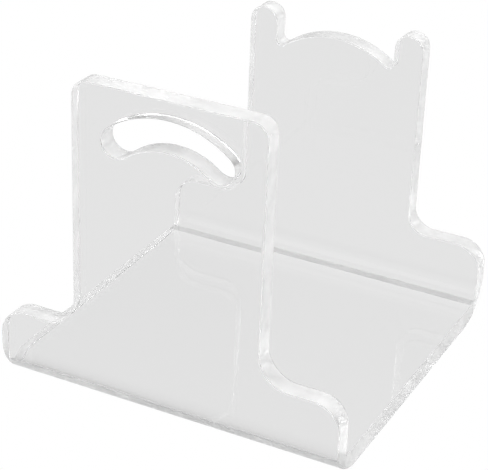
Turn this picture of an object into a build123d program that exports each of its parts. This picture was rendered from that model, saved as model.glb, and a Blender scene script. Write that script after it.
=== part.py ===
from build123d import *
import os

# Clear acrylic holder: three flat plates of one sheet thickness, cemented edge to face.
# The front panel has an arched slot, and the back panel has two posts with a low arch between them.
# Millimetres. X is left to right, Y is front to back, and Z is up.
# The origin is on the underside, in the middle of the footprint.

# Driving dimensions
sheet = 6.0
width = 96.0
depth = 100.0
front_height = 90.0
back_height = 80.0
upright_width = 52.0
shoulder_height = 22.0

# Rounding
long_corner_radius = 2 * sheet      # the two long lower corners, rounded over after cementing
shoulder_tip_radius = 7.0
front_throat_radius = 8.5           # hollow curve where an upright rises from its shoulders
back_throat_radius = 6.0
front_top_radius = 4.0
notch_radius = 1.5                  # hollow curve where the arch meets a post

# Arched slot in the front panel
slot_width = 8.0
slot_arc_radius = 22.3              # to the middle of the slot
slot_arc_centre = 58.7              # height of the arc's centre
slot_half_angle = 38.2

# Top of the back panel
post_width = 8.2
arch_radius = 26.0
arch_height = 75.0

# Worked out from the sizes above
inner_half_depth = depth / 2 - sheet
half_upright = upright_width / 2
half_post_gap = half_upright - post_width
post_spacing = upright_width - post_width
post_foot = arch_height - arch_radius / 2
standing = (Align.CENTER, Align.MIN)

os.makedirs("parts", exist_ok=True)

# Side view that trims every plate, with the two long lower corners rounded over.
# In this sketch and in every upright outline, the sketch's own Y axis is the height.
with BuildSketch(Plane.YZ) as side_view:
    Rectangle(depth, front_height, align=standing)
    fillet(side_view.vertices().group_by(Axis.Y)[0], radius=long_corner_radius)

# Base plate, cemented between the two upright panels
with BuildPart() as base_plate:
    with BuildSketch():
        Rectangle(width, 2 * inner_half_depth)
    extrude(amount=sheet)
    extrude(side_view.sketch, amount=width / 2, both=True, mode=Mode.INTERSECT)
base_plate.part.label = "base_plate"
export_step(base_plate.part, "parts/base_plate.step")

# Front panel: an upright on a wide shouldered foot, with the arched slot near its top
with BuildLine() as slot_line:
    CenterArc((0, slot_arc_centre), slot_arc_radius, 90 - slot_half_angle, 2 * slot_half_angle)

with BuildPart() as front_panel:
    with BuildSketch(Plane.XZ.offset(inner_half_depth)) as front_outline:
        Rectangle(width, shoulder_height, align=standing)
        fillet(front_outline.vertices().group_by(Axis.Y)[-1], radius=shoulder_tip_radius)
        Rectangle(upright_width, front_height, align=standing)
        fillet(front_outline.vertices().group_by(Axis.Y)[-1], radius=front_top_radius)
        throats = front_outline.vertices().filter_by_position(Axis.X, -half_upright, half_upright)
        fillet(throats.group_by(Axis.Y)[0], radius=front_throat_radius)
        SlotArc(slot_line.edge(), slot_width, mode=Mode.SUBTRACT)
    extrude(amount=sheet)
    extrude(side_view.sketch, amount=width / 2, both=True, mode=Mode.INTERSECT)
front_panel.part.label = "front_panel"
export_step(front_panel.part, "parts/front_panel.step")

# Back panel: a shouldered plate whose top is a low arch between two round-ended posts
with BuildSketch(Plane.XZ.offset(-depth / 2)) as arch:
    with Locations((0, arch_height - arch_radius)):
        Circle(arch_radius)
    Rectangle(2 * half_post_gap, front_height, align=standing, mode=Mode.INTERSECT)

with BuildPart() as back_panel:
    with BuildSketch(Plane.XZ.offset(-depth / 2)) as back_outline:
        Rectangle(width, shoulder_height, align=standing)
        fillet(back_outline.vertices().group_by(Axis.Y)[-1], radius=shoulder_tip_radius)
        Rectangle(upright_width, post_foot, align=standing)
        throats = back_outline.vertices().filter_by_position(Axis.X, -half_upright, half_upright)
        fillet(throats.group_by(Axis.Y)[0], radius=back_throat_radius)
        with GridLocations(post_spacing, 0, 2, 1):
            Rectangle(post_width, back_height - post_width / 2, align=standing)
        with Locations((0, back_height - post_width / 2)):
            with GridLocations(post_spacing, 0, 2, 1):
                Circle(post_width / 2)
        add(arch.sketch)
        notches = back_outline.vertices().filter_by_position(Axis.X, -half_post_gap, half_post_gap)
        fillet(notches.group_by(Axis.Y)[0], radius=notch_radius)
    extrude(amount=sheet)
    extrude(side_view.sketch, amount=width / 2, both=True, mode=Mode.INTERSECT)
back_panel.part.label = "back_panel"
export_step(back_panel.part, "parts/back_panel.step")
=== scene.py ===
"""Clear acrylic hair dryer holder: three cemented plates with polished edges, on a pale floor."""
import math

import bmesh
import bpy
from mathutils import Matrix, Vector


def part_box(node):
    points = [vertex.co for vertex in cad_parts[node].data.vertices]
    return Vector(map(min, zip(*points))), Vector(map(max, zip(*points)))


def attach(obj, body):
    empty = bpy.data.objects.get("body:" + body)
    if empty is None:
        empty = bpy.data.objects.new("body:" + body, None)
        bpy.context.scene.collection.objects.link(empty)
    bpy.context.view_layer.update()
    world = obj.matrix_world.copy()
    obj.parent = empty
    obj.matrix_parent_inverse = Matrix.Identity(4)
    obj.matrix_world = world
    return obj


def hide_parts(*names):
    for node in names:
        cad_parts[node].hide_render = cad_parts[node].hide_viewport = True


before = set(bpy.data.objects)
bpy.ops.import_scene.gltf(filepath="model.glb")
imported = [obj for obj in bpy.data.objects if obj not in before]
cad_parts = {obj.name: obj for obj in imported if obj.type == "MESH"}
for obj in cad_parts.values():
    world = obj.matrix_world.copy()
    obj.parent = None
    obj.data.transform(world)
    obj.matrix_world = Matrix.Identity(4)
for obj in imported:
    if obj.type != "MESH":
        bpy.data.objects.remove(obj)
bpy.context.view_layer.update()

# ---------------------------------------------------------------- sizes, in millimetres
# The outside sizes come from the CAD nodes. The radii and the slot repeat the CAD model's own values.
MM = 1000.0
front_low, front_high = (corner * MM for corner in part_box("front_panel"))
back_low, back_high = (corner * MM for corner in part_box("back_panel"))
base_low, base_high = (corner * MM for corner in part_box("base_plate"))
width = base_high.x - base_low.x
sheet = base_high.z
front_face = front_low.y
back_face = back_high.y

upright_width = 52.0
shoulder_height = 22.0
long_corner_radius = 2 * sheet
shoulder_tip_radius = 7.0
front_throat_radius = 8.5
back_throat_radius = 6.0
front_top_radius = 4.0
notch_radius = 1.5
slot_width = 8.0
slot_arc_radius = 22.3
slot_arc_centre = 58.7
slot_half_angle = 38.2
post_width = 8.2
arch_radius = 26.0
arch_height = 75.0

SHEET, EDGE, SEAM = range(3)            # material slots of every plate
arris = 0.45                # width of the polished arris along every cut edge
arc_step = 3.0              # degrees between points on a curved edge
sharp_turn = 25.0           # edges that turn more than this many degrees are corners, not curves
weld_gap = 0.002            # points nearer than this are one point
touching = 0.01             # a point this near a cemented face lies on it
square_on = 0.99            # a face looks along an axis when that part of its normal is more than this
side_on = 0.1               # a face looks partly sideways when the X part of its normal is more than this
acrylic_ior = 1.49


# ---------------------------------------------------------------- outlines
def arc(centre, radius, start, end):
    """Points along an arc, both ends included, with angles in degrees."""
    count = max(2, math.ceil(abs(end - start) / arc_step))
    angles = [math.radians(start + (end - start) * i / count) for i in range(count + 1)]
    return [(centre[0] + radius * math.cos(a), centre[1] + radius * math.sin(a)) for a in angles]


def rounded(corners):
    """A closed outline from (x, z, radius) corners, each one replaced by a tangent arc."""
    points = []
    for i, (x, z, radius) in enumerate(corners):
        corner = Vector((x, z))
        if radius == 0:
            points.append((x, z))
            continue
        to_last = (Vector(corners[i - 1][:2]) - corner).normalized()
        to_next = (Vector(corners[(i + 1) % len(corners)][:2]) - corner).normalized()
        half = to_last.angle(to_next) / 2
        centre = corner + (to_last + to_next).normalized() * radius / math.sin(half)
        tangents = [corner + side * radius / math.tan(half) - centre for side in (to_last, to_next)]
        start, end = (math.degrees(math.atan2(t.y, t.x)) for t in tangents)
        turn = (end - start + 180) % 360 - 180
        points += arc(centre, radius, start, start + turn)
    return points


def mirrored(right_half):
    """A whole outline from its right half, which runs from the bottom middle to the top middle."""
    left_half = [(-x, z, radius) for x, z, radius in reversed(right_half)]
    return rounded(right_half + left_half)


def front_outline():
    """An upright on a wide shouldered foot."""
    half_upright = upright_width / 2
    return mirrored([
        (width / 2, 0, 0),
        (width / 2, shoulder_height, shoulder_tip_radius),
        (half_upright, shoulder_height, front_throat_radius),
        (half_upright, front_high.z, front_top_radius),
    ])


def slot_outline():
    """A round-ended slot bent along an arc, narrower side down."""
    middle = (0, slot_arc_centre)
    first = 90 - slot_half_angle
    last = 90 + slot_half_angle
    half = slot_width / 2
    ends = []
    for angle in (last, first):
        turned = math.radians(angle)
        height = slot_arc_centre + slot_arc_radius * math.sin(turned)
        ends.append((slot_arc_radius * math.cos(turned), height))
    outer = arc(middle, slot_arc_radius + half, first, last)
    left_end = arc(ends[0], half, last, last + 180)
    inner = arc(middle, slot_arc_radius - half, last, first)
    right_end = arc(ends[1], half, first - 180, first)
    return outer[:-1] + left_end[:-1] + inner[:-1] + right_end[:-1]


def back_outline():
    """The same shouldered foot, with two round-ended posts and a low arch between them."""
    half_upright = upright_width / 2
    post_radius = post_width / 2
    half_gap = half_upright - post_width
    post_middle = (half_upright - post_radius, back_high.z - post_radius)
    arch_centre = arch_height - arch_radius

    # The small hollow that joins the arch to the inner side of a post
    notch_x = half_gap - notch_radius
    notch_z = arch_centre + math.sqrt((arch_radius + notch_radius) ** 2 - notch_x ** 2)
    meeting = math.degrees(math.atan2(notch_z - arch_centre, notch_x))

    foot = rounded([
        (-width / 2, 0, 0),
        (width / 2, 0, 0),
        (width / 2, shoulder_height, shoulder_tip_radius),
        (half_upright, shoulder_height, back_throat_radius),
        (half_upright, back_high.z, 0),
        (0, back_high.z, 0),
    ])
    right = foot[1:-2]
    right += arc(post_middle, post_radius, 0, 180)
    right += arc((notch_x, notch_z), notch_radius, 0, meeting - 180)
    right += arc((0, arch_centre), arch_radius, meeting, 90)[1:]
    left = [(-x, z) for x, z in reversed(right[:-1])]
    return right + left


# ---------------------------------------------------------------- plates
def prism(name, points, axis, low, high):
    """A closed solid: an outline pulled along the X or the Y axis from low to high."""
    mesh = bpy.data.meshes.new(name)
    bm = bmesh.new()
    places = {"X": lambda p: (low, p[0], p[1]), "Y": lambda p: (p[0], low, p[1])}
    along = {"X": Vector((high - low, 0, 0)), "Y": Vector((0, high - low, 0))}
    face = bm.faces.new([bm.verts.new(places[axis](p)) for p in points])
    pulled = bmesh.ops.extrude_face_region(bm, geom=[face])
    moved = [v for v in pulled["geom"] if isinstance(v, bmesh.types.BMVert)]
    bmesh.ops.translate(bm, verts=moved, vec=along[axis])
    bmesh.ops.recalc_face_normals(bm, faces=bm.faces)
    bm.to_mesh(mesh)
    bm.free()
    solid = bpy.data.objects.new(name, mesh)
    bpy.context.scene.collection.objects.link(solid)
    return solid


def settle(solid):
    """Makes the modifiers part of the mesh."""
    evaluated = solid.evaluated_get(bpy.context.evaluated_depsgraph_get())
    mesh = bpy.data.meshes.new_from_object(evaluated)
    solid.modifiers.clear()
    solid.data = mesh


def cut(solid, tool, operation):
    """Trims solid by tool, and removes the tool."""
    modifier = solid.modifiers.new("cut", "BOOLEAN")
    modifier.operation = operation
    modifier.solver = "EXACT"
    modifier.object = tool
    settle(solid)
    bpy.data.objects.remove(tool)


def side_view():
    """The outline that every plate keeps inside, with the two long lower corners rounded over."""
    top = front_high.z + 1
    radius = long_corner_radius
    return rounded([
        (front_face, 0, radius),
        (back_face, 0, radius),
        (back_face, top, 0),
        (front_face, top, 0),
    ])


def finish_plate(solid, seams, cad_node, is_sheet_face):
    """Polished arrises, materials and the right scale.

    seams are the Y planes where the plate is cemented. is_sheet_face says whether a normal belongs to
    one of the sheet's own two faces.
    """
    bm = bmesh.new()
    bm.from_mesh(solid.data)
    bmesh.ops.remove_doubles(bm, verts=bm.verts, dist=weld_gap)
    everything = list(bm.verts) + list(bm.edges) + list(bm.faces)
    bmesh.ops.bisect_plane(bm, geom=everything, plane_co=(0, 0, sheet), plane_no=(0, 0, 1), dist=0.001)

    def in_seam(point):
        return point.z < sheet + touching and any(abs(point.y - y) < touching for y in seams)

    weight = bm.edges.layers.float.new("bevel_weight_edge")
    for edge in bm.edges:
        turn = edge.calc_face_angle_signed(0.0)
        cemented = all(in_seam(v.co) for v in edge.verts)
        edge[weight] = 1.0 if turn > math.radians(sharp_turn) and not cemented else 0.0
    for face in bm.faces:
        face.smooth = True
        cemented = abs(face.normal.y) > square_on and all(in_seam(v.co) for v in face.verts)
        # The two long lower corners are as glossy as the sheet, and they never look sideways
        above_corners = face.calc_center_median().z > long_corner_radius + 1
        was_cut = abs(face.normal.x) > side_on or above_corners
        is_edge = was_cut and not is_sheet_face(face.normal)
        face.material_index = SEAM if cemented else EDGE if is_edge else SHEET
    bm.to_mesh(solid.data)
    bm.free()
    for material in (acrylic_face, acrylic_edge, acrylic_seam):
        solid.data.materials.append(material)
    solid.data.set_sharp_from_angle(angle=math.radians(sharp_turn))

    bevel = solid.modifiers.new("arris", "BEVEL")
    bevel.limit_method = "WEIGHT"
    bevel.width = arris
    bevel.segments = 3
    bevel.harden_normals = True
    bevel.material = SHEET
    bevel.use_clamp_overlap = True
    settle(solid)
    solid.data.transform(Matrix.Scale(1 / MM, 4))
    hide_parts(cad_node)
    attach(solid, "root")


# ---------------------------------------------------------------- materials
def new_material(name):
    material = bpy.data.materials.new(name)
    material.use_nodes = True
    tree = material.node_tree
    return material, tree, tree.nodes["Principled BSDF"]


def noise(tree, scale, detail):
    """Noise fixed to the object, in its own metres."""
    place = tree.nodes.new("ShaderNodeTexCoord")
    texture = tree.nodes.new("ShaderNodeTexNoise")
    texture.inputs["Scale"].default_value = scale
    texture.inputs["Detail"].default_value = detail
    tree.links.new(place.outputs["Object"], texture.inputs["Vector"])
    return texture.outputs["Fac"]


def spread(tree, value, low, high):
    """A 0 to 1 value mapped to the range low to high."""
    node = tree.nodes.new("ShaderNodeMapRange")
    node.inputs["To Min"].default_value = low
    node.inputs["To Max"].default_value = high
    tree.links.new(value, node.inputs["Value"])
    return node.outputs["Result"]


def bump(tree, shader, height, distance, strength):
    node = tree.nodes.new("ShaderNodeBump")
    node.inputs["Strength"].default_value = strength
    node.inputs["Distance"].default_value = distance
    tree.links.new(height, node.inputs["Height"])
    tree.links.new(node.outputs["Normal"], shader.inputs["Normal"])


def face_material():
    """Glossy cast sheet: faint waviness and a little variation in the gloss."""
    material, tree, shader = new_material("clear acrylic, sheet face")
    shader.inputs["Base Color"].default_value = (0.99, 0.99, 0.99, 1)
    shader.inputs["Transmission Weight"].default_value = 1.0
    shader.inputs["IOR"].default_value = acrylic_ior
    tree.links.new(spread(tree, noise(tree, 60, 3), 0.0, 0.03), shader.inputs["Roughness"])
    bump(tree, shader, noise(tree, 35, 1), 0.00002, 0.4)
    return material


def edge_material():
    """Cut edges, polished after sawing: softer gloss, a slight ripple, and some light scattered white."""
    material, tree, shader = new_material("clear acrylic, polished edge")
    shader.inputs["Base Color"].default_value = (0.98, 0.98, 0.98, 1)
    tree.links.new(spread(tree, noise(tree, 80, 4), 0.35, 1.0), shader.inputs["Transmission Weight"])
    shader.inputs["IOR"].default_value = acrylic_ior
    tree.links.new(spread(tree, noise(tree, 300, 2), 0.05, 0.35), shader.inputs["Roughness"])
    bump(tree, shader, noise(tree, 450, 2), 0.00004, 0.5)
    scattered = tree.nodes.new("ShaderNodeBsdfTranslucent")
    scattered.inputs["Color"].default_value = (0.98, 0.98, 0.98, 1)
    mix = tree.nodes.new("ShaderNodeMixShader")
    tree.links.new(spread(tree, noise(tree, 140, 3), 0.0, 0.4), mix.inputs["Fac"])
    tree.links.new(shader.outputs["BSDF"], mix.inputs[1])
    tree.links.new(scattered.outputs["BSDF"], mix.inputs[2])
    tree.links.new(mix.outputs["Shader"], tree.nodes["Material Output"].inputs["Surface"])
    return material


def seam_material():
    """A solvent-cemented seam: light passes almost straight through, past a faint uneven white bloom."""
    material, tree, shader = new_material("clear acrylic, cemented seam")
    shader.inputs["Base Color"].default_value = (0.95, 0.95, 0.95, 1)
    shader.inputs["Roughness"].default_value = 0.6
    shader.inputs["IOR"].default_value = 1.0
    tree.links.new(spread(tree, noise(tree, 90, 3), 0.35, 0.75), shader.inputs["Alpha"])
    return material


acrylic_face = face_material()
acrylic_edge = edge_material()
acrylic_seam = seam_material()

# ---------------------------------------------------------------- the three plates
front_seam = front_high.y
back_seam = back_low.y
room = 5.0                  # how far a trimming tool reaches past the plate

front = prism("front_panel_acrylic", front_outline(), "Y", front_face - room, front_seam)
cut(front, prism("tool", side_view(), "X", -width, width), "INTERSECT")
cut(front, prism("tool", slot_outline(), "Y", front_face - room, front_seam + room), "DIFFERENCE")
finish_plate(front, [front_seam], "front_panel", lambda normal: abs(normal.y) > square_on)

back = prism("back_panel_acrylic", back_outline(), "Y", back_seam, back_face + room)
cut(back, prism("tool", side_view(), "X", -width, width), "INTERSECT")
finish_plate(back, [back_seam], "back_panel", lambda normal: abs(normal.y) > square_on)

base_section = [(front_seam, -room), (back_seam, -room), (back_seam, sheet), (front_seam, sheet)]
base = prism("base_plate_acrylic", base_section, "X", base_low.x, base_high.x)
cut(base, prism("tool", side_view(), "X", -width, width), "INTERSECT")
finish_plate(base, [front_seam, back_seam], "base_plate", lambda normal: abs(normal.z) > square_on)


# ---------------------------------------------------------------- stage
# The camera sees white all round, as in a cut-out picture. Light that meets
# the acrylic comes from the grey levels below and the softboxes.
white_level = 1.0
floor_level = 0.78
# How bright the surroundings are, from the horizon at 0 to straight overhead at 1
sky_levels = [(0.0, 0.2), (0.15, 0.45), (0.35, 0.8), (0.5, 1.0), (0.65, 1.5), (0.85, 1.5), (1.0, 1.1)]
back_level = 0.65           # the share of that light left in the direction behind the stand


def only_to_camera(tree, seen, other):
    """seen is what the camera looks at directly, and other is what lights the acrylic."""
    rays = tree.nodes.new("ShaderNodeLightPath")
    mix = tree.nodes.new("ShaderNodeMixShader")
    tree.links.new(rays.outputs["Is Camera Ray"], mix.inputs["Fac"])
    tree.links.new(other, mix.inputs[1])
    tree.links.new(seen, mix.inputs[2])
    return mix.outputs["Shader"]


def glow(tree, kind, level):
    node = tree.nodes.new(kind)
    node.inputs["Color"].default_value = (level, level, level, 1)
    return node


def light_table():
    """A large plain floor that glows evenly, so the stand throws no shadow on it."""
    mesh = bpy.data.meshes.new("floor")
    bm = bmesh.new()
    bmesh.ops.create_circle(bm, cap_ends=True, segments=96, radius=3.0)
    bm.to_mesh(mesh)
    bm.free()
    floor = bpy.data.objects.new("floor", mesh)
    floor.location.z = -0.0002
    bpy.context.scene.collection.objects.link(floor)
    material = bpy.data.materials.new("pale floor")
    material.use_nodes = True
    tree = material.node_tree
    tree.nodes.remove(tree.nodes["Principled BSDF"])
    white = glow(tree, "ShaderNodeEmission", white_level)
    grey = glow(tree, "ShaderNodeEmission", floor_level)
    mixed = only_to_camera(tree, white.outputs[0], grey.outputs[0])
    tree.links.new(mixed, tree.nodes["Material Output"].inputs["Surface"])
    mesh.materials.append(material)


def studio():
    """Soft light all round: bright high up, dim at the horizon, and weaker behind the stand."""
    world = bpy.data.worlds.new("studio")
    bpy.context.scene.world = world
    world.use_nodes = True
    tree = world.node_tree
    around = tree.nodes["Background"]
    place = tree.nodes.new("ShaderNodeTexCoord")
    split = tree.nodes.new("ShaderNodeSeparateXYZ")
    ramp = tree.nodes.new("ShaderNodeValToRGB")
    tree.links.new(place.outputs["Generated"], split.inputs["Vector"])
    tree.links.new(split.outputs["Z"], ramp.inputs["Fac"])
    steps = ramp.color_ramp.elements
    while len(steps) < len(sky_levels):
        steps.new(0.5)
    for step, (height, level) in zip(steps, sky_levels):
        step.position = height
        step.color = (level, level, level, 1)
    tree.links.new(ramp.outputs["Color"], around.inputs["Color"])
    dimmer = tree.nodes.new("ShaderNodeMapRange")
    dimmer.inputs["From Max"].default_value = 0.8
    dimmer.inputs["To Min"].default_value = 1.0
    dimmer.inputs["To Max"].default_value = back_level
    tree.links.new(split.outputs["Y"], dimmer.inputs["Value"])
    tree.links.new(dimmer.outputs["Result"], around.inputs["Strength"])
    white = glow(tree, "ShaderNodeBackground", white_level)
    mixed = only_to_camera(tree, white.outputs[0], around.outputs[0])
    tree.links.new(mixed, tree.nodes["World Output"].inputs["Surface"])


def softbox(name, place, aim, size, power):
    """A soft rectangular lamp: place, aim and size in metres, and power in watts."""
    light = bpy.data.lights.new(name, "AREA")
    light.shape = "RECTANGLE"
    light.size, light.size_y = size
    light.energy = power
    lamp = bpy.data.objects.new(name, light)
    lamp.location = place
    lamp.rotation_euler = (Vector(aim) - Vector(place)).to_track_quat("-Z", "Y").to_euler()
    bpy.context.scene.collection.objects.link(lamp)


def camera():
    """The photograph's viewing angle: from the front right, looking down."""
    place = (0.17710, -0.36704, 0.24370)
    round_to_right, looking_down, roll = 26.23, 27.29, 2.24
    lens = bpy.data.cameras.new("camera")
    lens.lens = 127.07
    lens.sensor_width = 36.0
    eye = bpy.data.objects.new("camera", lens)
    turned = Matrix.Rotation(math.radians(round_to_right), 4, "Z")
    tilted = Matrix.Rotation(math.radians(90 - looking_down), 4, "X")
    rolled = Matrix.Rotation(math.radians(roll), 4, "Z")
    eye.matrix_world = Matrix.Translation(place) @ turned @ tilted @ rolled
    bpy.context.scene.collection.objects.link(eye)
    bpy.context.scene.camera = eye


light_table()
studio()
softbox("left_softbox", (-0.9, -0.2, 0.45), (0, 0, 0.03), (0.8, 0.6), 6)
softbox("right_softbox", (0.8, -0.4, 0.7), (0, 0, 0.03), (0.5, 0.5), 4.5)
softbox("top_softbox", (0.1, -0.3, 1.2), (0, 0, 0.03), (0.6, 0.6), 4)
camera()

scene = bpy.context.scene
scene.view_settings.view_transform = "Standard"
scene.cycles.max_bounces = 64
scene.cycles.transmission_bounces = 64
scene.cycles.glossy_bounces = 64
scene.cycles.transparent_max_bounces = 32
scene.cycles.use_denoising = True
